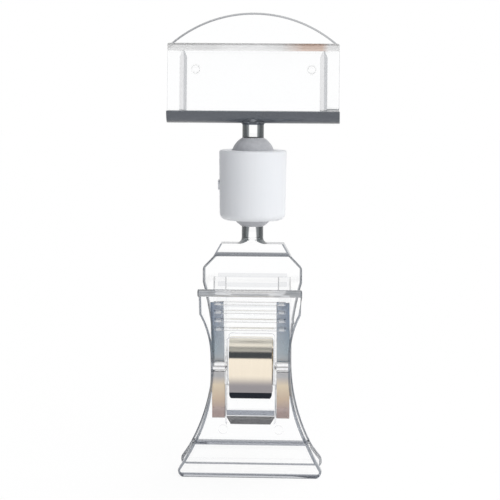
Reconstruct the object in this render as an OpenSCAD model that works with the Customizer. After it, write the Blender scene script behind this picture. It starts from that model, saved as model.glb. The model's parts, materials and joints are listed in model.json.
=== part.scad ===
// Clip stand for a place card: a sprung clip that stands on its flared lips, a double ball joint
// and a card channel. Millimetres. +Z is up, -Y is the front, and the origin lies on the table under
// the middle of the overall depth.

/* [Jaws] */
// Width of the flared lips that the stand rests on
foot_w = 31.2; // [28:0.2:34]
// Radius of the lips' lower corners
foot_corner_r = 1.3; // [0.8:0.1:1.4]
// Height of the line where the two jaws meet
jaw_z = 6; // [5:0.1:8]
// Slant of the lips from the vertical
lip_slant = 41; // [35:1:46]
// Gap left between the closed jaws
jaw_gap = 0.2; // [0.1:0.05:0.5]
// Radius of the bend where the jaws meet, on their inner faces
jaw_bend_r = 2.4; // [2.2:0.1:3]
// Wall of both levers
wall = 1.6; // [1.4:0.1:2]
// Distance of a grip stud from the middle of the jaw
stud_x = 6.1; // [4:0.1:8]
// Height of the grip studs
stud_z = 9.5; // [9:0.1:11]
// Diameter of a grip stud
stud_d = 2; // [1:0.1:3]
// How far a grip stud stands out of the jaw
stud_h = 0.3; // [0.2:0.05:0.35]

/* [Pivot] */
// Height of the pivot that the levers rock on
pivot_z = 24; // [22:0.5:26]
// Radius of the round knuckles on the front lever
knuckle_r = 1.5; // [1.2:0.1:1.8]
// Running clearance of a knuckle in its seat
knuckle_gap = 0.05; // [0.03:0.01:0.1]
// Lean of both jaws away from the closing plane
jaw_lean = 8; // [7:0.5:10]
// Radius of the bend at the pivot
elbow_r = 6; // [4:0.5:10]
// Width between the two cheeks of a lever
bay_w = 11.3; // [10.6:0.1:11.6]
// Thickness of a cheek
cheek_t = 2.8; // [2:0.1:2.8]
// Depth of a cheek at its top end
cheek_rim = 0.8; // [0.6:0.1:1]
// Distance of the cheeks from the closing plane
cheek_gap = 0.25; // [0.2:0.05:0.4]
// Height where the cheeks fade out on the jaws
cheek_low_z = 12.2; // [10.8:0.1:13]

/* [Lever outline] */
// Width of both levers at the pivot
waist_w = 17.4; // [17.1:0.1:18.4]
// Height where the waist starts to widen towards the handles
waist_top_z = 26.5; // [26:0.5:29]
// Height where the waist of the front lever starts to widen towards its lip
front_flare_z = 22.3; // [20:0.1:24]
// Height where the front lip reaches its full width
front_lip_z = 1.5; // [1.5:0.1:3]
// Height where the waist of the back lever starts to widen towards its lip
back_flare_z = 24.5; // [22:0.5:25.5]
// Height where the back lip reaches its full width
back_lip_z = 2.5; // [1.8:0.1:4]
// Height where the front handle reaches its full width
front_side_z = 35.8; // [34.5:0.1:38.5]
// Height where the back handle reaches its full width
back_side_z = 41.5; // [37:0.1:43]

/* [Front handle] */
// Height of the front handle's top edge
handle_z = 41.5; // [39:0.5:43]
// Width of the front handle
handle_w = 21.8; // [20:0.2:24]
// Lean of the front handle from the vertical
handle_lean = 22; // [20:0.5:25]
// Radius of the round bead along the handle's top edge
bead_r = 0.8; // [0.7:0.05:1]
// How far the bead stands out of the handle
bead_out = 0.6; // [0.3:0.05:0.7]
// How far the bead's ends stand out of the handle's sides
bead_over = 0.2; // [0.1:0.05:0.4]
// Height where the front cheeks end on the handle
front_cheek_z = 38.8; // [36:0.2:40]
// Distance from the handle's top edge to the first grip rib
rib_from_top = 2.9; // [2.2:0.1:3.5]

/* [Grip ribs] */
// Distance from one grip rib to the next
rib_pitch = 2.1; // [1.8:0.1:2.2]
// Number of grip ribs on each lever
rib_count = 4; // [2:1:4]
// Radius of a grip rib
rib_r = 0.6; // [0.45:0.05:0.7]
// How far a grip rib stands out of the lever
rib_out = 0.25; // [0.2:0.05:0.4]
// Length of a grip rib
rib_l = 15.2; // [12:0.2:16]

/* [Back handle] */
// Width of the back handle
back_w = 21.8; // [20:0.1:23]
// Height where the shoulders of the back handle begin
shoulder_z = 44.8; // [44:0.1:46]
// Height of the underside of the shelf
shelf_z = 47.5; // [46.8:0.1:48.4]
// Width of the shelf at its underside
shelf_low_w = 16.9; // [15.5:0.1:18]
// Width of the shelf at its top
shelf_top_w = 13.7; // [12:0.1:15]
// Thickness of the shelf
shelf_h = 2.8; // [2.2:0.1:3.4]
// Depth of the shelf, front to back
shelf_d = 5; // [4.8:0.1:5.6]
// How far the shelf overhangs the back handle behind and at its sides
shelf_step = 0.15; // [0.1:0.05:0.3]
// Height where the back cheeks end on the handle
back_cheek_z = 42.8; // [40:0.2:43.6]
// Distance from the shelf down to the first grip rib on the back
back_rib_drop = 4.5; // [4:0.1:6]

/* [Strip spring] */
// Width of the spring strip
spring_w = 9.3; // [8.5:0.1:9.8]
// Thickness of the spring strip
spring_t = 0.45; // [0.3:0.05:0.6]
// Height of the spring's arch above the pivot
spring_rise = 6.2; // [5.8:0.1:6.8]
// Distance from the pivot down to where the spring presses the jaws
spring_drop = 5.8; // [5.2:0.1:6.2]
// Radius of the spring's arch at each side
arch_r = 5; // [4.6:0.1:5.2]
// Width of the flat top of the arch
arch_flat = 1; // [0.6:0.1:2]
// Radius of the curl at the spring's ends
curl_r = 0.9; // [0.6:0.1:1.2]
// Length of the turned-out ends
tip_l = 1.5; // [1.2:0.1:2.2]
// Slant of the turned-out ends from the vertical
tip_slant = 20; // [15:1:40]
// Radius of the strip's end corners
tip_corner_r = 1.2; // [0.6:0.1:2]
// Gap between the spring's ends and the jaws
spring_gap = 0.1; // [0.05:0.05:0.2]
// Clearance of the spring in the levers' windows
window_gap = 0.3; // [0.2:0.05:0.4]
// Radius of the windows' corners
window_corner_r = 0.6; // [0.3:0.1:1.5]
// Depth of the pocket that the spring's end lies in
pocket_depth = 0.7; // [0.4:0.1:0.9]
// Radius of the scoop at the pocket's lower end
scoop_r = 3.4; // [2.8:0.1:4]
// Distance from where the spring presses down to the scoop's deepest line
scoop_drop = 5.6; // [5:0.1:6]
// Width of the pocket
pocket_w = 10.8; // [10.3:0.1:11]
// Radius of the pocket's corners
pocket_corner_r = 1.6; // [1:0.1:2]

/* [Ball joints] */
// Diameter of both balls
ball_d = 9.6; // [9:0.1:10]
// Clearance of a ball in its socket
ball_gap = 0.05; // [0.03:0.01:0.1]
// Diameter of both necks
neck_d = 4.7; // [4.2:0.1:4.8]
// Radius of the fillet where the lower neck meets the shelf
neck_fillet_r = 1.3; // [0.8:0.1:1.6]
// Radius of the fillet where the upper neck meets the bar
bar_fillet_r = 0.3; // [0.2:0.1:1]
// Height of the lower ball's centre above the shelf
neck_rise = 7.9; // [7.4:0.1:8.6]
// Outer diameter of the sleeve at its top
sleeve_d = 14.7; // [13.8:0.1:15.4]
// How much narrower the sleeve is at its bottom
sleeve_draft = 0.4; // [0:0.1:0.8]
// Length of the sleeve
sleeve_l = 15.2; // [14.6:0.1:17]
// Depth of the lower ball's centre inside the sleeve
low_ball_depth = 2.8; // [2.2:0.1:3]
// Depth of the upper ball's centre inside the sleeve
high_ball_depth = 1.5; // [1.2:0.1:2.2]
// Radius of the sleeve's upper edge
sleeve_top_r = 0.5; // [0.2:0.1:1]
// Radius of the sleeve's lower edge
sleeve_low_r = 1.5; // [0.4:0.1:2]
// Width of the chamfer round a socket's mouth
mouth_chamfer = 0.35; // [0.1:0.05:0.6]
// Diameter of the gate mark on the sleeve's side
gate_d = 2.2; // [1:0.1:3]
// How far the gate mark stands out
gate_h = 0.2; // [0.1:0.05:0.4]

/* [Card gripper] */
// Overall height of the holder
total_h = 100.3; // [97:0.1:104]
// Width of the card gripper
grip_w = 37.2; // [33:0.2:44]
// Depth of the gripper, front to back
grip_d = 5; // [4.8:0.1:5.6]
// Wall of the gripper's plates
grip_wall = 1.4; // [1.2:0.1:1.5]
// Height of the gripper's base bar above the upper ball's centre
bar_rise = 7.3; // [7:0.1:8.4]
// How far the half-round base bar stands out of the plates and their sides
bar_step = 0.15; // [0.1:0.05:0.3]
// Height of the front plate above the base bar
front_h = 14.6; // [13.4:0.1:16.4]
// Rise of the arch along the back plate's top
crown_h = 7.1; // [4:0.1:9]
// How far the front plate leans in towards the back plate
pinch = 1.2; // [0.8:0.05:1.2]
// Height of the turned-out lip along the front plate
lead_h = 1.3; // [0.9:0.1:1.8]
// How far that lip turns out
lead_out = 0.9; // [0.5:0.1:1.2]
// Radius of the bend under that lip
lead_bend_r = 2; // [1.7:0.1:2.6]
// Distance of a pinch rib from the middle
pinch_rib_x = 15.2; // [12:0.1:16]
// Radius of a pinch rib
pinch_rib_r = 0.8; // [0.6:0.05:1]
// How far a pinch rib stands out of the front plate
pinch_rib_h = 0.65; // [0.4:0.05:0.8]
// Length of a pinch rib's tapered top
pinch_rib_taper = 1.7; // [1:0.1:3]
// Distance of a card stop pip from the middle
pip_x = 12.6; // [9:0.1:13.5]
// Height of the pips above the middle of the back plate
pip_rise = -0.2; // [-3:0.1:3]
// Diameter of a pip
pip_d = 1.6; // [1:0.1:2]
// How far a pip stands out of the back plate
pip_h = 0.3; // [0.2:0.05:0.4]

/* [Hidden] */
$fn = 64;
crown_fn = 240;
clear_plastic = [0.84, 0.89, 0.93, 0.55];
white_plastic = [0.94, 0.94, 0.95];
spring_steel = [0.72, 0.70, 0.66];
// Steps of a rounded corner and of a long arc
bend_steps = 8;
arc_steps = 14;
// Overlap that makes joined shapes one solid, depth of a neck's root, reach past a surface,
// and length of a cut right through
sink = 0.4;
neck_root = 1.8;
past = 20;
through = 80;

// Lever faces, measured outwards from the closing plane
bend_half = (lip_slant + jaw_lean) / 2;
jaw_in = jaw_gap / 2 + jaw_bend_r * (1 - cos(bend_half - jaw_lean) / cos(bend_half));
panel_gap = jaw_in + (pivot_z - jaw_z) * tan(jaw_lean);
lip_in = jaw_in + (jaw_z + past) * tan(lip_slant);
lever_span = foot_w + 2 * sink;
lip_reach = jaw_in + jaw_z * tan(lip_slant) + wall / cos(lip_slant);
bead_z = handle_z - bead_r;
bead_at = face_out(bead_z, handle_lean) + (wall + bead_out - bead_r) / cos(handle_lean);
handle_out = bead_at + bead_r;
lever_low = [[lip_in, -past], [jaw_in, jaw_z], [panel_gap, pivot_z]];
front_end = [face_out(handle_z + past, handle_lean), handle_z + past];
front_path = rounded(concat(lever_low, [front_end]), [jaw_bend_r, elbow_r]);
back_path = rounded(concat(lever_low, [[panel_gap, shelf_z + sink]]), [jaw_bend_r, elbow_r]);
cheek_x = (bay_w + cheek_t) / 2;

// Spring, window and pocket
arch_z = pivot_z + spring_rise - spring_t / 2;
press_z = pivot_z - spring_drop;
floor_out = (wall - pocket_depth) / cos(jaw_lean);
press_out = face_out(press_z, 0) + floor_out + spring_gap + spring_t / 2;
arm_reach = [press_out - arch_flat / 2, arch_z - arch_r - press_z];
arm_slant = asin(arch_r / norm(arm_reach)) - atan2(arm_reach.x, arm_reach.y);
arch_out = arch_flat / 2 + arch_r * tan(45 + arm_slant / 2);
tip = [press_out + tip_l * sin(tip_slant), press_z - tip_l * cos(tip_slant)];
spring_side = [tip, [press_out, press_z], [arch_out, arch_z]];
spring_points = concat([for (p = spring_side) [-p.x, p.y]], reversed(spring_side));
spring_path = rounded(spring_points, [curl_r, arch_r, arch_r, curl_r]);
spring_out = arch_flat / 2 + arch_r + spring_t / 2;
window_w = spring_w + 2 * window_gap;
window_low_z = press_z + curl_r + window_gap;
window_top_z = pivot_z + spring_rise + window_gap;
scoop_z = press_z - scoop_drop;
scoop_sweep = acos(1 - (pocket_depth + sink) / scoop_r);
scoop_low_z = scoop_z - sqrt(scoop_r ^ 2 - (scoop_r - pocket_depth) ^ 2);

// Necks, balls and sleeve
neck_y = panel_gap + wall + shelf_step - shelf_d / 2;
shelf_top_z = shelf_z + shelf_h;
low_ball_z = shelf_top_z + neck_rise;
sleeve_z = low_ball_z - low_ball_depth;
high_ball_z = sleeve_z + sleeve_l - high_ball_depth;
socket_r = ball_d / 2 + ball_gap;

// Card gripper
bar_z = high_ball_z + bar_rise;
bar_r = grip_d / 2 + bar_step;
bar_top_z = bar_z + bar_r;
front_top_z = bar_top_z + front_h;
knee_z = front_top_z - lead_h;
slot_side = grip_d / 2 - grip_wall;
pinch_lean = atan(pinch / (knee_z - bar_top_z));
knee_out = slot_side - pinch;
plate_foot_z = bar_top_z - sink;
lead_end = [knee_out + lead_out * (1 + past / lead_h), front_top_z + past];
plate_foot = [slot_side + sink * tan(pinch_lean), plate_foot_z];
plate_path = rounded([plate_foot, [knee_out, knee_z], lead_end], [lead_bend_r]);

crown_r = ((grip_w / 2) ^ 2 + crown_h ^ 2) / (2 * crown_h);
pip_top_z = total_h - crown_r + sqrt(crown_r ^ 2 - pip_x ^ 2);
pip_z = (bar_top_z + pip_top_z) / 2 + pip_rise;

// The origin lies under the middle of the overall depth
back_reach = max(neck_y + sleeve_d / 2, lip_reach, spring_out);
depth_shift = (handle_out - back_reach) / 2;

function unit(v) = v / norm(v);
function turned(v, a) = [v.x * cos(a) - v.y * sin(a), v.x * sin(a) + v.y * cos(a)];

// Distance of a lever's inner face from the closing plane at height z, for a handle of that lean
function face_out(z, lean) =
    z < pivot_z ? jaw_in + (z - jaw_z) * tan(jaw_lean) : panel_gap + (z - pivot_z) * tan(lean);

// Points of the arc of radius r that rounds the corner b between a and c
function corner(a, b, c, r) =
    let (
        u = unit(a - b),
        v = unit(c - b),
        half = acos(u * v) / 2,
        middle = b + unit(u + v) * r / sin(half),
        start = b + u * r / tan(half) - middle,
        sweep = -sign(cross(u, v)) * (180 - 2 * half)
    )
    [for (i = [0:bend_steps]) middle + turned(start, sweep * i / bend_steps)];

// Points of the arc that leaves the upright through (x0, z0) and reaches (x1, z1)
function flare(x0, z0, x1, z1) =
    let (
        r = ((z1 - z0) ^ 2 + (x1 - x0) ^ 2) / (2 * (x1 - x0)),
        sweep = asin((z1 - z0) / r)
    )
    [
        for (i = [0:arc_steps])
            let (a = sweep * i / arc_steps)
            [x0 + r * (1 - cos(a)), z0 + r * sin(a)]
    ];

function reversed(list) = [for (i = [len(list) - 1:-1:0]) list[i]];

// A line through the points, with each inner corner rounded by its own radius
function rounded(points, radii) = [
    points[0],
    for (i = [1:len(points) - 2]) each corner(points[i - 1], points[i], points[i + 1], radii[i - 1]),
    points[len(points) - 1]
];

// Direction to the right of a line at its point i, longer at a corner so that a wall keeps its thickness
function beside(path, i) =
    let (
        last = len(path) - 1,
        from = max(i, 1),
        to = min(i + 1, last),
        before = unit(path[from] - path[from - 1]),
        after = unit(path[to] - path[to - 1]),
        mean = unit(before + after)
    )
    [mean.y, -mean.x] / (mean * after);

// Area between two distances to the right of a line
module strip(path, near, far) {
    steps = len(path) - 1;
    polygon([
        for (i = [0:steps]) path[i] + beside(path, i) * near,
        for (i = [steps:-1:0]) path[i] + beside(path, i) * far
    ]);
}

// A side profile, drawn outwards and up, as a solid of width w along X
module across(w) {
    rotate([90, 0, 90])
        linear_extrude(w, center = true)
            children();
}

// A front outline as a solid along Y, reaching past the object
module facing() {
    rotate([90, 0, 0])
        linear_extrude(through, center = true)
            children();
}

module on_both_sides(x) {
    for (side = [-1, 1])
        translate([side * x, 0, 0])
            children();
}

module to_front() {
    mirror([0, 1, 0])
        children();
}

module placed() {
    translate([0, depth_shift, 0])
        children();
}

// Rectangle over the middle, from height low to height high, with round corners
module round_rect(w, low, high, r) {
    ends = [[-w / 2, low], [w / 2, low], [w / 2, high], [-w / 2, high]];
    polygon([for (i = [0:3]) each corner(ends[(i + 3) % 4], ends[i], ends[(i + 1) % 4], r)]);
}

// Outline whose right half is given from the bottom up
module both_halves(half) {
    polygon(concat(half, reversed([for (p = half) [-p.x, p.y]])));
}

// Right side of a lever from the floor over its lip and waist, up to its handle's full width side_w
function lever_side(lip_z, flare_z, side_w, side_z) = concat(
    corner([0, 0], [foot_w / 2, 0], [foot_w / 2, lip_z], foot_corner_r),
    reversed(flare(waist_w / 2, flare_z, foot_w / 2, lip_z)),
    flare(waist_w / 2, waist_top_z, side_w / 2, side_z)
);

module front_outline() {
    both_halves(concat(
        lever_side(front_lip_z, front_flare_z, handle_w, front_side_z),
        [[handle_w / 2, bead_z]]
    ));
}

module back_outline() {
    both_halves(concat(
        lever_side(back_lip_z, back_flare_z, back_w, back_side_z),
        [
            [back_w / 2, shoulder_z],
            [shelf_low_w / 2 - shelf_step, shelf_z],
            [shelf_top_w / 2, shelf_z + sink]
        ]
    ));
}

// Side profile of a cheek that ends at height top on a handle of that lean
module cheek_profile(top, lean) {
    polygon([
        [face_out(top, lean) + wall / 2, top],
        [face_out(top, lean) - cheek_rim, top],
        [cheek_gap, pivot_z],
        [cheek_gap, cheek_low_z],
        [face_out(cheek_low_z, lean) + wall / 2, cheek_low_z],
        [panel_gap + wall / 2, pivot_z]
    ]);
}

module at_pivot() {
    translate([0, pivot_z])
        children();
}

// Round ridges across a handle, seen from the side: first is the height of the topmost
module grip_ribs(first, lean) {
    for (i = [0:rib_count - 1]) {
        z = first - i * rib_pitch * cos(lean);
        translate([0, face_out(z, lean) + wall / cos(lean) + (rib_out - rib_r) / cos(lean), z])
            rotate([0, 90, 0])
                cylinder(r = rib_r, h = rib_l, center = true);
    }
}

// Round edge along the top of the front handle
module handle_bead() {
    translate([0, bead_at, bead_z])
        rotate([0, 90, 0])
            cylinder(r = bead_r, h = handle_w + 2 * bead_over, center = true);
}

// Distance of the pocket's floor from the closing plane at height z
function floor_at(z) = face_out(z, 0) + floor_out;

// Side profile of the pocket under the spring's end, scooped out at its lower end
module pocket_profile() {
    polygon([
        for (i = [arc_steps:-1:0])
            let (a = scoop_sweep * i / arc_steps)
            [floor_at(scoop_z) + scoop_r * (1 - cos(a)), scoop_z - scoop_r * sin(a)],
        [floor_at(window_low_z + sink), window_low_z + sink],
        [past, window_low_z + sink],
        [past, scoop_z - scoop_r * sin(scoop_sweep)]
    ]);
}

// What is cut out of a lever for the spring: its window and the pocket
module spring_cut() {
    facing()
        round_rect(window_w, window_low_z, window_top_z, window_corner_r);
    intersection() {
        across(foot_w)
            pocket_profile();
        facing()
            round_rect(pocket_w, scoop_low_z - sink, pivot_z, pocket_corner_r);
    }
}

module grip_studs() {
    on_both_sides(stud_x)
        translate([0, face_out(stud_z, 0), stud_z])
            rotate([90 - jaw_lean, 0, 0])
                translate([0, 0, -sink])
                    cylinder(d = stud_d, h = sink + stud_h);
}

// Ball at height rise on a neck, with a fillet round its foot, over a base of depth base_d
module ball_neck(rise, fillet_r, base_d) {
    neck_r = neck_d / 2;
    intersection() {
        rotate_extrude()
            polygon([
                [0, -neck_root],
                [neck_r, -neck_root],
                [neck_r, -sink],
                [neck_r + fillet_r, -sink],
                each corner([neck_r + 2 * fillet_r, 0], [neck_r, 0], [neck_r, rise], fillet_r),
                [neck_r, rise],
                [0, rise]
            ]);
        translate([-past, -base_d / 2, -past])
            cube([2 * past, base_d, 2 * past]);
    }
    translate([0, 0, rise])
        sphere(d = ball_d);
}

module shelf() {
    translate([0, neck_y, 0])
        rotate([90, 0, 0])
            linear_extrude(shelf_d, center = true)
                polygon([
                    [-shelf_low_w / 2, shelf_z],
                    [shelf_low_w / 2, shelf_z],
                    [shelf_top_w / 2, shelf_top_z],
                    [-shelf_top_w / 2, shelf_top_z]
                ]);
}

module back_lever() {
    color(clear_plastic)
        placed() {
            difference() {
                union() {
                    intersection() {
                        across(lever_span)
                            strip(back_path, 0, wall);
                        facing()
                            back_outline();
                    }
                    grip_ribs(shelf_z - back_rib_drop, 0);
                }
                spring_cut();
            }
            on_both_sides(cheek_x)
                across(cheek_t)
                    difference() {
                        cheek_profile(back_cheek_z, 0);
                        at_pivot()
                            circle(knuckle_r + knuckle_gap);
                    }
            grip_studs();
            shelf();
            translate([0, neck_y, shelf_top_z])
                ball_neck(neck_rise, neck_fillet_r, shelf_d - shelf_step);
        }
}

module front_lever() {
    color(clear_plastic)
        placed()
            to_front() {
                difference() {
                    union() {
                        intersection() {
                            across(lever_span)
                                strip(front_path, 0, wall);
                            facing()
                                front_outline();
                        }
                        grip_ribs(handle_z - rib_from_top, handle_lean);
                        handle_bead();
                    }
                    spring_cut();
                }
                on_both_sides(cheek_x)
                    across(cheek_t) {
                        cheek_profile(front_cheek_z, handle_lean);
                        at_pivot()
                            circle(knuckle_r);
                    }
                grip_studs();
            }
}

module strip_spring() {
    color(spring_steel)
        placed()
            intersection() {
                across(spring_w)
                    strip(spring_path, -spring_t / 2, spring_t / 2);
                facing()
                    round_rect(spring_w, tip.y - spring_t / 2, arch_z + past, tip_corner_r);
            }
}

// Side of the sleeve as turned, from its lower edge to its upper edge
module sleeve_profile() {
    low_r = (sleeve_d - sleeve_draft) / 2;
    polygon([
        [0, 0],
        each corner([0, 0], [low_r, 0], [sleeve_d / 2, sleeve_l], sleeve_low_r),
        each corner([low_r, 0], [sleeve_d / 2, sleeve_l], [0, sleeve_l], sleeve_top_r),
        [0, sleeve_l]
    ]);
}

// Socket for a ball whose centre lies at that depth, open downwards at z = 0
module socket(depth) {
    mouth_r = sqrt(socket_r ^ 2 - depth ^ 2);
    translate([0, 0, depth])
        sphere(r = socket_r);
    translate([0, 0, -sink])
        cylinder(r1 = mouth_r + mouth_chamfer + sink, r2 = mouth_r, h = mouth_chamfer + sink);
}

module ball_sleeve() {
    color(white_plastic)
        placed()
            translate([0, neck_y, sleeve_z])
                difference() {
                    union() {
                        rotate_extrude()
                            sleeve_profile();
                        translate([-sleeve_d / 2 - gate_h, 0, sleeve_l / 2])
                            rotate([0, 90, 0])
                                cylinder(d = gate_d, h = sleeve_d / 2 - ball_d / 2);
                    }
                    socket(low_ball_depth);
                    translate([0, 0, sleeve_l])
                        mirror([0, 0, 1])
                            socket(high_ball_depth);
                }
}

// Half-round bar that joins the two plates
module base_bar() {
    length = grip_w + 2 * bar_step;
    translate([0, 0, bar_top_z])
        intersection() {
            rotate([0, 90, 0])
                cylinder(r = bar_r, h = length, center = true);
            translate([-length, -past, -past])
                cube([2 * length, 2 * past, past]);
        }
}

// Back plate with its arched top
module back_plate() {
    translate([0, grip_d / 2, 0])
        rotate([90, 0, 0])
            linear_extrude(grip_wall)
                intersection() {
                    translate([-grip_w / 2, plate_foot_z])
                        square([grip_w, total_h + past - plate_foot_z]);
                    translate([0, total_h - crown_r])
                        circle(crown_r, $fn = crown_fn);
                }
}

// Front plate: it leans in to pinch the card, and its lip turns out to let the card in
module front_plate() {
    intersection() {
        to_front()
            across(grip_w)
                strip(plate_path, 0, grip_wall);
        translate([-grip_w, -past, plate_foot_z])
            cube([2 * grip_w, 2 * past, front_top_z - plate_foot_z]);
    }
}

module pinch_ribs() {
    length = (knee_z - bar_top_z) / cos(pinch_lean);
    on_both_sides(pinch_rib_x)
        translate([0, -slot_side - pinch_rib_r + pinch_rib_h, bar_top_z])
            rotate([-pinch_lean, 0, 0])
                rotate_extrude()
                    polygon([
                        [0, -sink],
                        [pinch_rib_r, -sink],
                        [pinch_rib_r, length - pinch_rib_taper],
                        [pinch_rib_r - pinch_rib_h, length],
                        [0, length]
                    ]);
}

module card_pips() {
    on_both_sides(pip_x)
        translate([0, slot_side - pip_h, pip_z])
            rotate([-90, 0, 0])
                cylinder(d = pip_d, h = pip_h + sink);
}

module card_gripper() {
    color(clear_plastic)
        placed()
            translate([0, neck_y, 0]) {
                base_bar();
                back_plate();
                front_plate();
                pinch_ribs();
                card_pips();
                translate([0, 0, bar_z])
                    mirror([0, 0, 1])
                        ball_neck(bar_rise, bar_fillet_r, grip_d);
            }
}

back_lever();
front_lever();
strip_spring();
ball_sleeve();
card_gripper();
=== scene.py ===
import json
import math

import bpy
from mathutils import Matrix, Vector


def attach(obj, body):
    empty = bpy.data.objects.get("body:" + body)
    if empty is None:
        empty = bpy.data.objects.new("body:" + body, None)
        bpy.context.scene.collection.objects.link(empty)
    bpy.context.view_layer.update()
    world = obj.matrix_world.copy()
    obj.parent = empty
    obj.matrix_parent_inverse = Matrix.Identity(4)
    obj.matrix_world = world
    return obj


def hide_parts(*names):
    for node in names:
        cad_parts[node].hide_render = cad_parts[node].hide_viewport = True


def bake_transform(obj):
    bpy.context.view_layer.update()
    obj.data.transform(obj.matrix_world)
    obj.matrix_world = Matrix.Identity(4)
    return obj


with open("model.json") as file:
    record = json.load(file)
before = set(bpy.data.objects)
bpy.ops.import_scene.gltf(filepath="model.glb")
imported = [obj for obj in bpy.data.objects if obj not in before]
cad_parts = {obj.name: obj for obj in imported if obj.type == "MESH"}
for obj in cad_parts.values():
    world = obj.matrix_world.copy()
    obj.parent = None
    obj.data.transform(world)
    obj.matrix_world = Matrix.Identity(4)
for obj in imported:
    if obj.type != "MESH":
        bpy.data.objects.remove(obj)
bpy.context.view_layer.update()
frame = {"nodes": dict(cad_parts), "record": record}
mm = 0.001
joints = {joint["name"]: Vector(joint["pos_m"]) / mm for joint in frame["record"]["behaviour"]["joints"]}
print("frame loaded:", ", ".join(sorted(frame["nodes"])))


class Wire:  # a shader socket that can be used in sums
    def __init__(self, tree, output=None):
        self.tree = tree
        self.output = output

    def add(self, kind, settings, values, out=0):
        made = self.tree.nodes.new(kind)
        for name, value in settings.items():
            setattr(made, name, value)
        for name, value in values.items():
            if isinstance(value, Wire):
                self.tree.links.new(value.output, made.inputs[name])
            else:
                made.inputs[name].default_value = value
        return Wire(self.tree, made.outputs[out] if made.outputs else None)

    def sums(self, operation, first, second):
        return self.add("ShaderNodeMath", {"operation": operation}, {0: first, 1: second})

    def __add__(self, other):
        return self.sums("ADD", self, other)

    def __radd__(self, other):
        return self.sums("ADD", other, self)

    def __sub__(self, other):
        return self.sums("SUBTRACT", self, other)

    def __rsub__(self, other):
        return self.sums("SUBTRACT", other, self)

    def __mul__(self, other):
        return self.sums("MULTIPLY", self, other)

    def __rmul__(self, other):
        return self.sums("MULTIPLY", other, self)

    def atLeast(self, other):
        return self.sums("MAXIMUM", self, other)

    def atMost(self, other):
        return self.sums("MINIMUM", self, other)


def mixColour(wire, factor, *ends):
    first, second = (end if isinstance(end, Wire) else (*end, 1) for end in ends)
    return wire.add("ShaderNodeMix", {"data_type": "RGBA"}, {0: factor, 6: first, 7: second}, 2)


def soft(wire, value, low, high):
    return wire.add("ShaderNodeMapRange", {"interpolation_type": "SMOOTHSTEP"},
                    {0: value, 1: low, 2: high, 3: 0, 4: 1})


def newMaterial(name):
    paint = bpy.data.materials.new(name)
    paint.use_nodes = True
    paint.node_tree.nodes.clear()
    return paint, Wire(paint.node_tree)


def setSurface(wire, shader):
    wire.add("ShaderNodeOutputMaterial", {}, {"Surface": shader})


def onPiece(wire, axis):  # a place's distance along one axis
    place = wire.add("ShaderNodeTexCoord", {}, {}, "Object")
    return wire.add("ShaderNodeSeparateXYZ", {}, {0: place}, axis)


# camera

shot = {
    "aim": (-0.45, 1.4, 48.9),  # point at the middle of the picture, mm
    "distance": 408,            # mm
    "azimuth": 2.4,             # degrees that the camera stands to the right
    "elevation": 5.6,           # degrees above the horizon
    "roll": 0.37,               # degrees, the holder leans this much in the picture
    "field": 15.2,              # degrees across the picture
    "sensor": 36,               # mm
    "nearest": 10,              # nothing nearer shows, mm
}


def makeCamera():
    tilt, turn = math.radians(shot["elevation"]), math.radians(shot["azimuth"])
    back = Vector((math.sin(turn) * math.cos(tilt), -math.cos(turn) * math.cos(tilt), math.sin(tilt)))
    aim = Vector(shot["aim"]) * mm
    bpy.ops.object.camera_add(location=aim + back * shot["distance"] * mm)
    camera = bpy.context.object
    camera.rotation_euler = ((-back).to_track_quat("-Z", "Y").to_matrix()
                             @ Matrix.Rotation(math.radians(shot["roll"]), 3, "Z")).to_euler()
    camera.data.sensor_width = shot["sensor"]
    camera.data.lens = shot["sensor"] / 2 / math.tan(math.radians(shot["field"]) / 2)
    camera.data.clip_start = shot["nearest"] * mm
    bpy.context.scene.camera = camera


makeCamera()
print("camera placed")

# studio

studio = {
    "fillLeft": (0.02, 0.03, 0.05),  # light on matt surfaces from the left
    "fillRight": (1.5, 1.5, 1.5),
    "fillFar": (0.6, 0.6, 0.6),      # light from the far right
    "fillTurn": (-0.36, -0.02),      # where the left's shade ends
    "farTurn": (0.45, 0.85),
    "room": (0.055, 0.068, 0.09),    # what glass and metal show of the room above and in front
    "softBox": (1.00, 0.99, 0.96),   # panel above the camera
    "softBoxEdge": (0.70, 0.82),
    "fieldTop": (0.17, 0.24),        # the white round the horizon ends between these heights
    "fieldLift": 0.50,               # and this much higher behind the holder
    "fieldTurn": (-0.2, 0.3),        # where the lift sets in, front to back
    "white": (1, 1, 1),              # background
    "floorSize": 4000,               # mm
    "floorColour": (0.86, 0.86, 0.86),
    "floorGlow": 0.86,               # share of the floor's white that shadows leave
    "floorTurn": (-120, 20),         # where the floor's left side stops dimming what stands on it, mm
    "floorDim": 0.85,
}


def seen(wire):
    path = wire.add("ShaderNodeLightPath", {}, {}).output.node
    camera, glossy, transmission, matt = (
        Wire(wire.tree, path.outputs[name])
        for name in ("Is Camera Ray", "Is Glossy Ray", "Is Transmission Ray", "Diffuse Depth"))
    return camera, glossy.atLeast(transmission) * (1 - matt.atMost(1))


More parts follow.
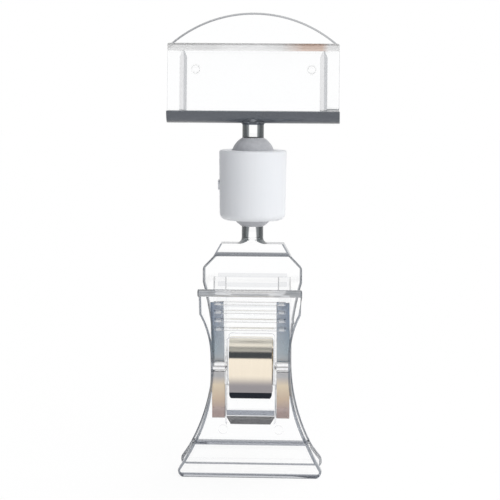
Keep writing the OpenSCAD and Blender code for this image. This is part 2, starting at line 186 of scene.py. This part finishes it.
def makeWorld():
    world = bpy.data.worlds.new("studio")
    bpy.context.scene.world = world
    world.use_nodes = True
    world.node_tree.nodes.clear()
    wire = Wire(world.node_tree)
    camera, through = seen(wire)
    way = wire.add("ShaderNodeTexCoord", {}, {}, "Generated")
    parts = wire.add("ShaderNodeSeparateXYZ", {}, {0: way}).output.node
    dx, dy, dz = (Wire(wire.tree, parts.outputs[name]) for name in "XYZ")
    lift = studio["fieldLift"] * soft(wire, dy, *studio["fieldTurn"])
    field = 1 - soft(wire, dz - lift, *studio["fieldTop"])
    room = mixColour(wire, soft(wire, dz, *studio["softBoxEdge"]), studio["room"], studio["softBox"])
    room = mixColour(wire, field, room, studio["white"])
    fill = mixColour(wire, soft(wire, dx, *studio["fillTurn"]), studio["fillLeft"], studio["fillRight"])
    fill = mixColour(wire, soft(wire, dx, *studio["farTurn"]), fill, studio["fillFar"])
    colour = mixColour(wire, through, fill, room)
    colour = mixColour(wire, camera, colour, studio["white"])
    background = wire.add("ShaderNodeBackground", {}, {"Color": colour, "Strength": 1})
    wire.add("ShaderNodeOutputWorld", {}, {"Surface": background})


def smooth(value, low, high):
    share = min(max((value - low) / (high - low), 0), 1)
    return share * share * (3 - 2 * share)


def floorFill(steps=400):  # light that the floor gets from the whole sky
    left, right, far = (Vector(studio[name]) for name in ("fillLeft", "fillRight", "fillFar"))
    total = Vector((0, 0, 0))
    for step in range(steps):
        dx = (2 * step + 1) / steps - 1
        fill = left.lerp(right, smooth(dx, *studio["fillTurn"])).lerp(far, smooth(dx, *studio["farTurn"]))
        total += fill * math.sqrt(1 - dx * dx) * 4 / math.pi / steps
    return total


def makeFloor():
    bpy.ops.object.select_all(action="DESELECT")
    bpy.ops.mesh.primitive_plane_add(size=studio["floorSize"] * mm)
    floor = bpy.context.object
    floor.name = "floor"
    paint, wire = newMaterial("floorWhite")
    share = studio["floorGlow"]
    lit = [shade * light for shade, light in zip(studio["floorColour"], floorFill())]
    glowColour = [(1 - (1 - share) * level) / share for level in lit]  # the two make white together
    matt = wire.add("ShaderNodeBsdfDiffuse", {}, {"Color": (*studio["floorColour"], 1)})
    onMatt = wire.add("ShaderNodeLightPath", {}, {}, "Is Diffuse Ray")
    leftSide = 1 - soft(wire, onPiece(wire, "X"), *(turn * mm for turn in studio["floorTurn"]))
    strength = 1 - studio["floorDim"] * onMatt * leftSide
    glow = wire.add("ShaderNodeEmission", {}, {"Color": (*glowColour, 1), "Strength": strength})
    setSurface(wire, wire.add("ShaderNodeMixShader", {}, {0: share, 1: matt, 2: glow}))
    floor.data.materials.append(paint)


makeWorld()
makeFloor()
bpy.context.scene.view_settings.view_transform = "Standard"
print("studio built")

# materials


def noise(wire, scale, detail=3, stretch=(1, 1, 1)):
    place = wire.add("ShaderNodeTexCoord", {}, {}, "Object")
    turned = wire.add("ShaderNodeMapping", {}, {"Vector": place, "Scale": stretch})
    return wire.add("ShaderNodeTexNoise", {}, {"Vector": turned, "Scale": scale, "Detail": detail}, 0)


def bump(wire, height, strength, depth):
    return wire.add("ShaderNodeBump", {}, {"Strength": strength, "Distance": depth * mm, "Height": height})


def painted(wire, name, out):
    return wire.add("ShaderNodeAttribute", {"attribute_name": name}, {}, out)


clearLook = {
    "colour": (0.996, 0.998, 1.0),
    "bend": 1.55,                # refractive index
    "flow": (140, 2),            # scale and detail of the flow marks
    "flowBump": (0.25, 0.04),    # strength, and depth in mm
    "grain": 420,                # scale of the roughness
    "roughness": (0.012, 0.03),  # least, and what the grain adds
    "edgeRoughness": 0.08,
    "edgeClear": 0.5,            # share of an edge's light that goes through
    "edgeTurn": (0.6, 0.8),      # how far a surface turns away as it darkens
    "stemTurn": (0.05, 0.10),    # and on the stems
    "edgeShare": 0.95,
    "ridgeBend": 1.03,           # raised marks hardly bend what lies behind them
    "ridgeRoughness": (0.20, 0.10),
}
paintedLightColours = {  # painted reflections and shade on the edges, cheeks and marks of the clear pieces, standing in for what the clear plastic shows of the room
    "slate": (0.17, 0.19, 0.225),       # painted dark reflection along edges
    "iron": (0.10, 0.112, 0.135),       # painted dark shade on the bar and on the shelf's lower edge
    "graphite": (0.045, 0.056, 0.062),  # painted dark sides of the stems
    "navy": (0.028, 0.068, 0.150),      # painted dark reflection on the cheeks at their tops
    "steel": (0.055, 0.115, 0.190),
    "teal": (0.130, 0.210, 0.270),      # painted reflection on the cheeks at the pivot
    "pale": (0.50, 0.55, 0.62),         # painted pale reflection on the cheeks towards the middle
    "lilac": (0.385, 0.378, 0.392),     # painted reflection on the jaws at the pivot
    "honey": (0.90, 0.66, 0.38),
    "amber": (0.60, 0.37, 0.20),
    "russet": (0.29, 0.168, 0.144),     # painted warm reflection on the jaws near the table
    "silver": (0.95, 0.95, 0.95),       # painted highlight on the front ribs
    "peach": (0.68, 0.50, 0.41),        # painted warm reflection on the right of the plate's lip
    "ash": (0.36, 0.37, 0.39),          # painted shade on the crown and on the pinch ribs' right sides
    "dove": (0.87, 0.87, 0.87),         # painted grey reflection at the ends of the plate's lip
    "mist": (0.30, 0.32, 0.37),         # painted dark bands at bends and feet
    "haze": (0.68, 0.70, 0.73),         # painted grey on the bead's ends
    "smoke": (0.66, 0.66, 0.67),        # painted grey on the pinch ribs, the studs, and the bead's middle
    "breath": (0.74, 0.75, 0.77),       # painted pale grey on the pocket walls and back ribs
    "white": (1, 1, 1),
    "jet": (0.05, 0.05, 0.054),         # painted black shade in the scoop
    "sky": (0.19, 0.215, 0.265),        # painted blue reflection in the pocket above the scoop
}


def clearPlastic(name, edgeTurn):
    paint, wire = newMaterial(name)
    least, spread = clearLook["roughness"]
    skin = wire.add("ShaderNodeBsdfPrincipled", {}, {
        "Base Color": (*clearLook["colour"], 1),
        "Roughness": least + spread * noise(wire, clearLook["grain"]),
        "IOR": clearLook["bend"],
        "Transmission Weight": 1,
        "Normal": bump(wire, noise(wire, *clearLook["flow"]), *clearLook["flowBump"]),
    })
    # the edge shader carries painted reflection and shade colours, which take over where a surface turns
    # away
    edge = wire.add("ShaderNodeBsdfPrincipled", {}, {
        "Base Color": painted(wire, "paintedEdgeColour", "Color"),
        "Roughness": clearLook["edgeRoughness"],
        "IOR": clearLook["bend"],
        "Transmission Weight": clearLook["edgeClear"],
    })
    turned = wire.add("ShaderNodeLayerWeight", {}, {}, "Facing") + painted(wire, "edgeShade", "Fac")
    share = soft(wire, turned, *edgeTurn) * clearLook["edgeShare"]
    setSurface(wire, wire.add("ShaderNodeMixShader", {}, {0: share, 1: skin, 2: edge}))
    return paint


def ridgePlastic():  # raised marks, which blur into the clear plastic that carries them; their colour is painted shade and highlight
    paint, wire = newMaterial("ridgePlastic")
    least, spread = clearLook["ridgeRoughness"]
    setSurface(wire, wire.add("ShaderNodeBsdfPrincipled", {}, {
        "Base Color": painted(wire, "paintedEdgeColour", "Color"),
        "Roughness": least + spread * noise(wire, clearLook["grain"]),
        "IOR": clearLook["ridgeBend"],
        "Transmission Weight": 1,
    }))
    return paint


frostLook = {  # balls
    "colours": ((0.45, 0.46, 0.49), (0.62, 0.63, 0.66)),
    "colourNoise": (1500, 3),
    "bumpNoise": (1500, 3),
    "bump": (0.4, 0.03),          # strength, and depth in mm
    "roughNoise": (1500, 3),
    "roughness": (0.42, 0.15),
    "glow": (0.3, 1),             # share of light that spreads inside, and how far in mm
}
sleeveLook = {
    "colours": ((0.85, 0.875, 0.92), (0.90, 0.915, 0.945)),
    "colourNoise": (160, 2),
    "bumpNoise": (3200, 3),
    "bump": (0.3, 0.02),
    "roughNoise": (900, 3),
    "roughness": (0.34, 0.12),
    "glow": (0.25, 2),
}


def mattPlastic(name, look):
    paint, wire = newMaterial(name)
    least, spread = look["roughness"]
    share, depth = look["glow"]
    setSurface(wire, wire.add("ShaderNodeBsdfPrincipled", {}, {
        "Base Color": mixColour(wire, noise(wire, *look["colourNoise"]), *look["colours"]),
        "Roughness": least + spread * noise(wire, *look["roughNoise"]),
        "Subsurface Weight": share,
        "Subsurface Radius": (1, 1, 1),
        "Subsurface Scale": depth * mm,
        "Normal": bump(wire, noise(wire, *look["bumpNoise"]), *look["bump"]),
    }))
    return paint


springLook = {
    "colours": ((0.88, 0.78, 0.64), (0.95, 0.86, 0.72)),
    "streaks": (500, 4, (6, 1, 0.15)),  # scale, detail and stretch
    "paintedShade": (0.33, 0.31, 0.32),         # painted shade at the lower end
    "paintedShadeZ": (19.4, 22.2),              # heights between which the painted shade fades out, mm
    # painted highlight along the arch's crest, which is also rougher
    "crestHighlight": (1.0, 0.95, 0.84),
    "crestZ": (26.9, 27.6),
    "roughness": (0.09, 0.07, 0.22),    # least, and what streaks and the crest add
    "archRise": 6,                      # arch above the pivot, mm
    "archHalf": 2.9,
}


def springSteel():
    paint, wire = newMaterial("springSteel")
    streaks = noise(wire, *springLook["streaks"])
    # painted shade darkens the lower end, and a painted highlight lightens the crest
    height = onPiece(wire, "Z")
    unshaded, crestHighlight = (soft(wire, height, *(z * mm for z in springLook[name])) for name in ("paintedShadeZ", "crestZ"))
    colour = mixColour(wire, streaks, *springLook["colours"])
    colour = mixColour(wire, unshaded, springLook["paintedShade"], colour)
    least, streakShare, crestShare = springLook["roughness"]
    setSurface(wire, wire.add("ShaderNodeBsdfPrincipled", {}, {
        "Base Color": mixColour(wire, crestHighlight, colour, springLook["crestHighlight"]),
        "Roughness": least + streakShare * streaks + crestShare * crestHighlight,
        "Metallic": 1,
    }))
    return paint


# pieces


def useOnly(piece):
    bpy.ops.object.select_all(action="DESELECT")
    piece.select_set(True)
    bpy.context.view_layer.objects.active = piece


def copyNode(name, pieceName, merge=0.002, flat=0.6):  # mm, degrees
    piece = bpy.data.objects.new(pieceName, frame["nodes"][name].data.copy())
    bpy.context.scene.collection.objects.link(piece)
    useOnly(piece)
    bpy.ops.object.mode_set(mode="EDIT")
    bpy.ops.mesh.select_all(action="SELECT")
    bpy.ops.mesh.remove_doubles(threshold=merge * mm)
    bpy.ops.mesh.dissolve_limited(angle_limit=math.radians(flat))
    bpy.ops.object.mode_set(mode="OBJECT")
    return piece


def edgeSides(mesh):  # normals of the faces at each edge
    sides = {}
    for face in mesh.polygons:
        for key in face.edge_keys:
            sides.setdefault(key, []).append(face.normal)
    return sides


def splitFaces(piece, chosen, axis, places):
    useOnly(piece)
    for place in places:
        for face in piece.data.polygons:
            face.select = chosen(face.center / mm, face.normal, face.area / mm / mm)
        for edge in piece.data.edges:
            edge.select = False
        bpy.ops.object.mode_set(mode="EDIT")
        bpy.ops.mesh.select_mode(type="FACE")
        bpy.ops.mesh.bisect(plane_co=axis * place * mm, plane_no=axis)
        bpy.ops.object.mode_set(mode="OBJECT")


rimSlot = 1  # material slot that marks the rounded faces until they are shaded


def roundEdges(piece, radiusOf, widest=1.0, segments=3, minAngle=25):  # mm, degrees
    mesh = piece.data
    sides = edgeSides(mesh)
    weights = mesh.attributes.new("bevel_weight_edge", "FLOAT", "EDGE")
    rounded = 0
    for edge in mesh.edges:
        normals = sides[edge.key]
        if normals[0].angle(normals[1]) > math.radians(minAngle):
            ends = [mesh.vertices[i].co for i in edge.vertices]
            middle = (ends[0] + ends[1]) / 2 / mm
            radius = radiusOf(middle, normals)
            weights.data[edge.index].value = radius / widest
            rounded += radius > 0
    useOnly(piece)
    mesh.materials.clear()
    for slot in range(rimSlot + 1):
        mesh.materials.append(None)
    bevel = piece.modifiers.new("roundEdges", "BEVEL")
    bevel.material = rimSlot
    bevel.limit_method = "WEIGHT"
    bevel.width = widest * mm
    bevel.segments = segments
    bevel.loop_slide = False
    bevel.use_clamp_overlap = False
    bpy.ops.object.modifier_apply(modifier=bevel.name)
    print(piece.name, "has", rounded, "rounded edges,", len(mesh.polygons), "faces")


finishes = ("clear", "frost", "ridge", "stem")  # the order of a clear piece's materials


def shadeEdges(piece, shadeOf):  # shadeOf gives a finish, or how much of the painted edge shows, and the painted reflection and shade colour
    mesh = piece.data
    shade = mesh.attributes.new("edgeShade", "FLOAT", "CORNER")
    paintedColour = mesh.attributes.new("paintedEdgeColour", "FLOAT_COLOR", "CORNER")
    for face in mesh.polygons:
        rim = face.material_index == rimSlot
        amount, colour = shadeOf(face.center / mm, face.normal, face.area / mm / mm, rim)
        face.material_index = finishes.index(amount) if amount in finishes else 0
        for loop in face.loop_indices:
            corner = mesh.vertices[mesh.loops[loop].vertex_index].co / mm
            shade.data[loop].value = 0 if amount in finishes else amount
            paintedColour.data[loop].color = (*(colour(corner) if callable(colour) else paintedLightColours[colour]), 1)


def finishPiece(piece, node, paints, softAngle=35):
    useOnly(piece)
    bpy.ops.object.shade_smooth_by_angle(angle=math.radians(softAngle))
    weigh = piece.modifiers.new("flatFaces", "WEIGHTED_NORMAL")
    weigh.keep_sharp = True
    bpy.ops.object.modifier_apply(modifier=weigh.name)
    indices = [face.material_index for face in piece.data.polygons]
    piece.data.materials.clear()
    for paint in paints:
        piece.data.materials.append(paint)
    piece.data.polygons.foreach_set("material_index", indices)
    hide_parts(node)


ballReach = 4.2  # from a ball's middle to its stem, mm
facing = {  # how much of a normal lies along an axis
    "edgeOn": 0.02,
    "slant": 0.3,
    "wall": 0.5,
    "front": 0.9,
    "level": 0.95,
    "flat": 0.985,
}


def within(value, span):
    return span[0] < value < span[1]


def bothSides(reaches):
    return [side * reach for side in (-1, 1) for reach in reaches]


def isWall(normal):  # a face that goes straight through a plate
    return abs(normal.y) < facing["edgeOn"]


def mixed(first, second, share):
    share = min(max(share, 0), 1)
    return [a + (b - a) * share for a, b in zip(first, second)]


def ramp(stops, value):
    for (low, first), (high, second) in zip(stops, stops[1:]):
        if value <= high:
            break
    return mixed(paintedLightColours[first], paintedLightColours[second], (value - low) / (high - low))


# levers

leverLook = {
    # radii, mm
    "outline": 0.55,           # round the outer face
    "innerOutline": 0.12,
    "window": 0.2,
    "beadEnd": 0.25,
    "shelfLow": 1.0,           # the shelf's lower front edge
    "shelfEnd": 0.35,
    # places and lengths in mm, areas in mm2
    "near": 0.05,              # an edge this close to a height or a face is on it
    "skin": 0.01,              # and a face
    "closePlane": joints["jaw_pivot"].y,          # where the levers meet
    "pivotZ": joints["jaw_pivot"].z,
    "knuckle": 1.7,            # half height of the pivot
    "stemTop": joints["neck_swivel"].z - ballReach,
    "shelfFront": joints["neck_swivel"].y - 2.5,  # y of the shelf's front face
    "shelfZ": (47.5, 50.3),
    "shelfMiddle": 1,          # the shelf's long edges have their middles within this
    "cheek": (5.55, 8.5),      # sideways reach of a cheek
    "cheekZ": (12.3, 38.7),
    "cheekDepth": 0.5,         # below the pivot, cheeks are this close to the other lever
    "cheekCuts": (14.2, 16.5, 19.5, 21.5, 27.5, 31, 35),  # heights where a cheek's painted reflection changes colour
    "windowLow": 19,
    "pocketZ": (10.4, 31),
    "pocketHalf": 5.45,
    "pocketBand": (12.75, 13.95),
    "scoopZ": (10.4, 12.7),
    "scoopHalf": (4.0, 5.5),   # half width of a scoop's foot and top
    "ribZ": 31,                # ribs lie above this height
    "ribHalf": 7.7,
    "ribArea": 8,              # no facet of a rib is larger
    "dash": (6.2, 7.3),        # the pale end of a front rib
    "postZ": 39.5,             # the back cheeks show as posts above this height
    "postLines": (5.95, 8.1),
    "beadZ": (39.85, 41.6),
    "beadFront": -5,           # the bead is in front of this
    "bendZ": (6.1, 6.95),
    "bendHalf": 15,
    "bendTurn": 0.015,         # a bend's facets lean at least this much
    "footTop": 5,
    "footArea": 20,            # a foot's faces are larger
    "footBand": 0.85,          # height of the dark band round the foot
    "footLine": 0.45,
    "studZ": (7.5, 11.5),
    "studX": (4.4, 7.6),
    "studDepth": 0.7,
    # how much of the painted edge reflection and shade shows
    "rimShade": 0.72,
    "cheekShade": 0.80,
    "paleness": 0.35,          # share of painted pale reflection in a cheek's inner side
    "knuckleShade": 0.70,
    "postShade": 0.68,
    "scoopShade": 0.8,
    "beadShade": 0.8,
    "bendShade": 0.76,
    "footShade": 0.66,
    "lineShade": 0.63,
    "dashShade": 0.68,
    "ribTopShade": 0.8,
    "frontRibShade": 0.40,
    "panelShade": -0.7,        # between the ribs
    "clearShade": -1,
}
cheekStops = ((14.2, "russet"), (16.5, "amber"), (19.5, "honey"), (21.5, "lilac"), (24, "lilac"),
              (27.5, "teal"), (31, "steel"), (35, "navy"))  # heights of the cheeks' painted reflection colours
beadStops = ((4, "smoke"), (8.5, "haze"))  # painted shade colours of the bead, by distance from the middle


# a cheek's colour is painted reflection: it changes with height and turns pale towards the inner side
def cheekPaintedReflection(corner):
    low, high = leverLook["cheek"]
    inner = (high - abs(corner.x)) / (high - low)
    paleness = leverLook["paleness"] * inner * (corner.z > leverLook["pivotZ"])
    return mixed(ramp(cheekStops, corner.z), paintedLightColours["pale"], paleness)


# the bead's grey is painted shade that changes from its middle to its ends
def beadPaintedShade(corner):
    return ramp(beadStops, abs(corner.x))


def isInward(place, normal):  # towards the other lever
    return normal.y * (leverLook["closePlane"] - place.y) > 0


def onCheek(place, normal):
    return (isInward(place, normal) and abs(normal.y) > facing["slant"]
            and within(abs(place.x), leverLook["cheek"]))


def isCheek(place, normal, area):
    return onCheek(place, normal) and within(place.z, leverLook["cheekZ"])


def isUpperCheek(place, normal, area):
    return onCheek(place, normal) and place.z > leverLook["pivotZ"]


def isPost(place, normal, area):
    return isUpperCheek(place, normal, area) and place.z > leverLook["postZ"]


def isPocket(place, normal, area):
    return (abs(place.x) < leverLook["pocketHalf"] and normal.y < -facing["front"]
            and within(place.z, (leverLook["scoopZ"][1], leverLook["windowLow"])))


def isScoop(place, normal, area):
    return (abs(place.x) < leverLook["pocketHalf"] and normal.z > 0 and not isInward(place, normal)
            and within(place.z, leverLook["scoopZ"]))


def scoopCut(side):  # plane that takes off a lower corner of a scoop
    (foot, head), (low, high) = leverLook["scoopHalf"], leverLook["scoopZ"]
    axis = Vector((side * (high - low), 0, foot - head)).normalized()
    return axis, axis.dot((side * foot, 0, low))


def atRibs(place):
    return within(place.z, (leverLook["ribZ"], leverLook["beadZ"][0]))


def isRib(place, normal, area):
    return (area < leverLook["ribArea"] and not isInward(place, normal)
            and abs(place.x) < leverLook["ribHalf"] and atRibs(place))


def isBead(place, normal, area):
    return (not isInward(place, normal) and place.y < leverLook["beadFront"]
            and within(place.z, leverLook["beadZ"]))


def onFoot(place, area):
    return area > leverLook["footArea"] and place.z < leverLook["footTop"]


def isFootOutside(place, normal, area):
    return onFoot(place, area) and normal.z > facing["slant"]


def isFootInside(place, normal, area):  # of the back lever
    return onFoot(place, area) and normal.z < -facing["slant"] and place.y > 0


def leverRadius(middle, normals):
    x = abs(middle.x)
    low, high = leverLook["shelfZ"]
    near = leverLook["near"]
    if middle.z > low - near:
        if middle.z < high - near and abs(middle.y - leverLook["shelfFront"]) < near:
            return leverLook["shelfLow" if x < leverLook["shelfMiddle"] else "shelfEnd"]
        return 0
    if not any(isWall(normal) for normal in normals):
        return 0
    if x > leverLook["cheek"][1] or middle.z < near:
        if middle.z > leverLook["beadZ"][0] and middle.y < leverLook["beadFront"]:
            return leverLook["beadEnd"]
        face = max(normals, key=lambda normal: abs(normal.y))
        return leverLook["innerOutline" if isInward(middle, face) else "outline"]
    if x < leverLook["cheek"][0] and middle.z > leverLook["pocketZ"][0]:
        return leverLook["window"]
    return 0


# paints reflection and shade colours onto a lever's faces, in place of what its clear plastic shows of the
# room
def leverShade(place, normal, area, rim):
    x = abs(place.x)
    depth = abs(place.y - leverLook["closePlane"])
    inward = isInward(place, normal)
    onFront = place.y < leverLook["closePlane"]
    aboveShelf = place.z - leverLook["shelfZ"][1]
    onShelf = within(place.z, leverLook["shelfZ"])
    overPivot = place.z - leverLook["pivotZ"]
    # ball, stem and the shelf's top
    if place.z > leverLook["stemTop"]:
        return "frost", "white"
    if aboveShelf > leverLook["skin"]:
        return "stem", "graphite"
    if aboveShelf > -leverLook["skin"]:
        return 0, "slate"
    # pocket walls and studs
    if (x < leverLook["cheek"][0] and within(place.z, leverLook["pocketZ"])
            and (rim or abs(normal.y) < facing["wall"])):
        return "ridge", "breath"
    if (depth < leverLook["studDepth"] and within(place.z, leverLook["studZ"])
            and within(x, leverLook["studX"]) and abs(normal.y) < facing["flat"]):
        return "ridge", "smoke"
    # feet, shelf and outlines
    if place.z < leverLook["footBand"] and not inward:
        return leverLook["footShade"], "mist"
    if place.z < leverLook["footLine"] and not onFront:
        return leverLook["lineShade"], "mist"
    if onShelf and abs(normal.x) > facing["wall"]:
        return leverLook["rimShade"], "slate"
    if rim and onShelf and x < leverLook["shelfMiddle"]:
        return leverLook["rimShade"], "iron"
    if rim or (isWall(normal) and x > leverLook["cheek"][1]):
        return leverLook["rimShade"], "slate"
    # cheeks, knuckles and posts
    if within(x, leverLook["cheek"]) and within(place.z, leverLook["cheekZ"]) and onFront:
        if normal.z > facing["level"] and overPivot > 0:
            return leverLook["clearShade"], "slate"
        if depth > leverLook["cheekDepth"] and abs(overPivot) < leverLook["knuckle"]:
            if abs(normal.z) < facing["slant"]:
                return leverLook["clearShade"], "slate"
            # painted reflection: knuckle faces that look up get teal, and those that look down get lilac
            return leverLook["knuckleShade"], "teal" if normal.z > 0 else "lilac"
        if onCheek(place, normal) and (overPivot > 0 or depth < leverLook["cheekDepth"]):
            return leverLook["cheekShade"], cheekPaintedReflection
    if isPost(place, normal, area) and not onFront and not within(x, leverLook["postLines"]):
        return leverLook["postShade"], "smoke"
    # scoop, bends, bead and ribs, all on the outer faces
    if inward:
        return 0, "slate"
    if onFront and isScoop(place, normal, area):
        axis, reach = scoopCut(1)
        if axis.dot((x, 0, place.z)) > reach:
            return "ridge", "white"
        return leverLook["scoopShade"], "jet"
    if onFront and x < leverLook["pocketHalf"] and within(place.z, leverLook["pocketBand"]):
        return leverLook["scoopShade"], "sky"
    if (within(place.z, leverLook["bendZ"]) and abs(normal.z) > leverLook["bendTurn"]
            and x < leverLook["bendHalf"]):
        return leverLook["bendShade"], "mist"
    if onFront and atRibs(place) and within(x, leverLook["dash"]):
        return leverLook["dashShade"], "silver"
    if isBead(place, normal, area):
        return leverLook["beadShade"], beadPaintedShade
    if place.z > leverLook["ribZ"] and x < leverLook["ribHalf"]:
        if area > leverLook["ribArea"]:
            return leverLook["panelShade"], "slate"
        if not onFront:
            return "ridge", "breath"
        # painted highlight on the ribs' upper facets, and painted grey on their lower facets
        if normal.z > 0 and x < leverLook["cheek"][0]:
            return leverLook["ribTopShade"], "silver"
        return leverLook["frontRibShade"], "smoke"
    return 0, "slate"


# card gripper

gripperLook = {
    "plateEdge": 0.45,    # radius round the plates, mm
    "lipEdge": 0.2,       # and along the lip
    "ballTop": joints["head_tilt"].z + ballReach,
    "barZ": (76.05, 79.1),
    "collarZ": 76.39,     # the stem's flare ends here
    "collarArea": 2,      # no facet of the flare is larger, mm2
    "lipZ": (92.0, 93.75),
    "lipHalf": 18.5,      # the lip's upper edges reach no further sideways
    "middle": joints["head_tilt"].y,  # y between the plates
    "slotHalf": 1.2,
    "ribX": (14, 16.2),   # sideways reach of a pinch rib
    "ribArea": 40,        # no face of a pinch rib is larger, mm2
    "ribTurn": 0.1,       # a pinch rib's right side faces right more than this, and gets painted shade
    "barShade": 0.9,
    "crownShade": 0.72,
    "sideShade": 0.1,
    "lipShade": 0.64,
    "plateShade": -0.7,
}
lipStops = ((-18, "dove"), (-9, "dove"), (-5, "white"), (1, "white"), (6, "dove"), (11, "peach"),
            (14.8, "peach"), (16.2, "dove"))  # painted reflection colours along the lip, left to right


# the lip's colours are painted reflection: grey at the ends, white in the middle, warm on the right
def lipPaintedReflection(corner):
    return ramp(lipStops, corner.x)


def isLip(place, normal=None, area=None):
    return place.y < gripperLook["middle"] and within(place.z, gripperLook["lipZ"])


def gripperRadius(middle, normals):
    if middle.z > gripperLook["barZ"][1] and any(isWall(normal) for normal in normals):
        onLip = isLip(middle) and abs(middle.x) < gripperLook["lipHalf"]
        return gripperLook["lipEdge" if onLip else "plateEdge"]
    return 0


# paints reflection and shade colours onto the gripper's faces, in place of what its clear plastic shows of
# the room
def gripperShade(place, normal, area, rim):
    if place.z < gripperLook["ballTop"]:
        return "frost", "white"
    if place.z < gripperLook["barZ"][0]:
        return "stem", "graphite"
    if place.z < gripperLook["collarZ"] and area < gripperLook["collarArea"]:
        return "ridge", "iron"
    if place.z < gripperLook["barZ"][1]:
        return gripperLook["barShade"], "iron"
    if isLip(place):
        return gripperLook["lipShade"], lipPaintedReflection
    if place.z > gripperLook["lipZ"][0]:
        return gripperLook["crownShade"] if rim or isWall(normal) else 0, "ash"
    if rim:
        return gripperLook["sideShade"], "slate"
    if abs(place.y - gripperLook["middle"]) < gripperLook["slotHalf"]:
        if within(abs(place.x), gripperLook["ribX"]) and area < gripperLook["ribArea"]:
            # painted shade: a pinch rib's right side is darker than its left
            return "ridge", "ash" if normal.x > gripperLook["ribTurn"] else "smoke"
        if abs(normal.y) < facing["flat"]:
            return "ridge", "white"  # pips
    return gripperLook["plateShade"], "slate"


sideways, upwards = Vector((1, 0, 0)), Vector((0, 0, 1))
splits = {  # faces that are cut so that their painted reflection and shade colour can change
    "back_lever": (
        (isFootOutside, upwards, [leverLook["footBand"]]),
        (isFootInside, upwards, [leverLook["footLine"]]),
        (isUpperCheek, upwards, [leverLook["postZ"]]),
        (isPost, sideways, bothSides(leverLook["postLines"])),
    ),
    "front_lever": (
        (isFootOutside, upwards, [leverLook["footBand"]]),
        (isPocket, upwards, leverLook["pocketBand"]),
        *((isScoop, axis, [reach]) for axis, reach in (scoopCut(-1), scoopCut(1))),
        (isRib, sideways, bothSides((leverLook["cheek"][0], *leverLook["dash"]))),
        (isCheek, upwards, leverLook["cheekCuts"]),
        (isBead, sideways, bothSides([place for place, colour in beadStops])),
    ),
    "card_gripper": (
        (isLip, sideways, [place for place, colour in lipStops]),
    ),
}
clearPaints = (clearPlastic("clearPlastic", clearLook["edgeTurn"]), mattPlastic("frostedPlastic", frostLook),
               ridgePlastic(), clearPlastic("stemPlastic", clearLook["stemTurn"]))
for name, body, radiusOf, shadeOf in (("back_lever", "stand", leverRadius, leverShade),
                                      ("front_lever", "front_jaw", leverRadius, leverShade),
                                      ("card_gripper", "head", gripperRadius, gripperShade)):
    piece = copyNode(name, name + "_clear")
    for chosen, axis, places in splits[name]:
        splitFaces(piece, chosen, axis, places)
    roundEdges(piece, radiusOf)
    shadeEdges(piece, shadeOf)
    finishPiece(piece, name, clearPaints)
    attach(piece, body)

# sleeve and spring

sleeve = copyNode("ball_sleeve", "sleeve_white")
finishPiece(sleeve, "ball_sleeve", [mattPlastic("whitePlastic", sleeveLook)])
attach(sleeve, "sleeve")

spring = copyNode("strip_spring", "spring_strip")
finishPiece(spring, "strip_spring", [springSteel()])
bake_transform(spring)
print("pieces finished")
